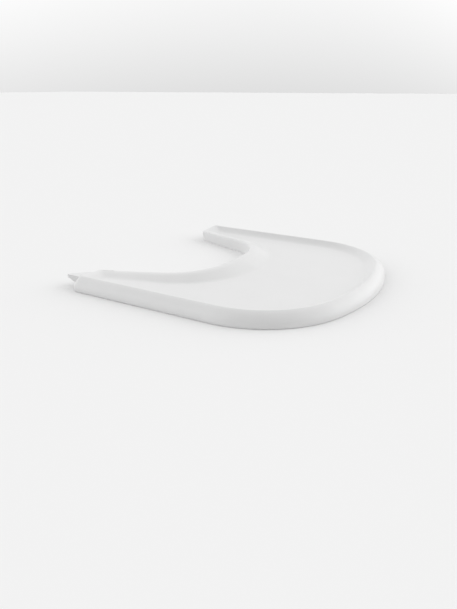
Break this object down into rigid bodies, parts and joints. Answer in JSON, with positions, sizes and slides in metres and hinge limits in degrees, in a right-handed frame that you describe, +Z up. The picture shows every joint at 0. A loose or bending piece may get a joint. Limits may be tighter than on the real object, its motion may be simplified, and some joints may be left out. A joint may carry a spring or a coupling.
{
  "type": "high chair tray",
  "caption": "Clip-on moulded tray for a high chair: shallow rimmed table with two arms, a spring latch in one arm end and a release handle underneath.",
  "frame": {"origin": "middle of the part's bounding box in X and Y, on the plane that the skirt stands on", "axes": "+Z up, tray front towards -Y, arms towards +Y, the latch arm on -X"},
  "size_m": [0.47, 0.4789, 0.028],
  "materials": {
    "tray_plastic": "satin moulded",
    "inner_plastic": "matt moulded",
    "bolt_plastic": "satin moulded",
    "handle_plastic": "fine texture",
    "yoke_plastic": "matt moulded",
    "soft_pad": "matt",
    "rod_steel": "drawn",
    "spring_steel": "bright wire",
    "screw_steel": "zinc plated"
  },
  "bodies": {
    "tray": {"tray_shell": "tray_plastic", "handle_guide": "inner_plastic", "arm_cover": "inner_plastic", "latch_spring": "spring_steel", "rod_saddle": "inner_plastic", "peg_socket": "inner_plastic", "yoke_strap_outer": "inner_plastic", "yoke_strap_inner": "inner_plastic", "rail_pad_front": "soft_pad", "rail_pad_left": "soft_pad", "rail_pad_right": "soft_pad", "cover_screws": "screw_steel", "saddle_screw": "screw_steel", "socket_screws": "screw_steel", "strap_screws": "screw_steel", "guide_screws": "screw_steel"},
    "release": {"release_handle": "handle_plastic", "grip_insert": "soft_pad", "release_yoke": "yoke_plastic", "pull_rod": "rod_steel", "rod_collars": "rod_steel", "handle_screws": "screw_steel"},
    "bolt": {"latch_bolt": "bolt_plastic"}
  },
  "joints": [
    {"name": "handle_slide", "type": "slide", "parent": "tray", "child": "release", "axis": [0, -1, 0], "range_m": [0, 0.006], "stiffness_N_per_m": 300, "springref_m": -0.01},
    {"name": "bolt_slide", "type": "slide", "parent": "tray", "child": "bolt", "axis": [0, -1, 0], "range_m": [0, 0.006], "stiffness_N_per_m": 200, "springref_m": -0.01, "deforming": ["latch_spring"]}
  ],
  "couplings": [
    {"joint": "bolt_slide", "follows": "handle_slide", "ratio": 1}
  ]
}
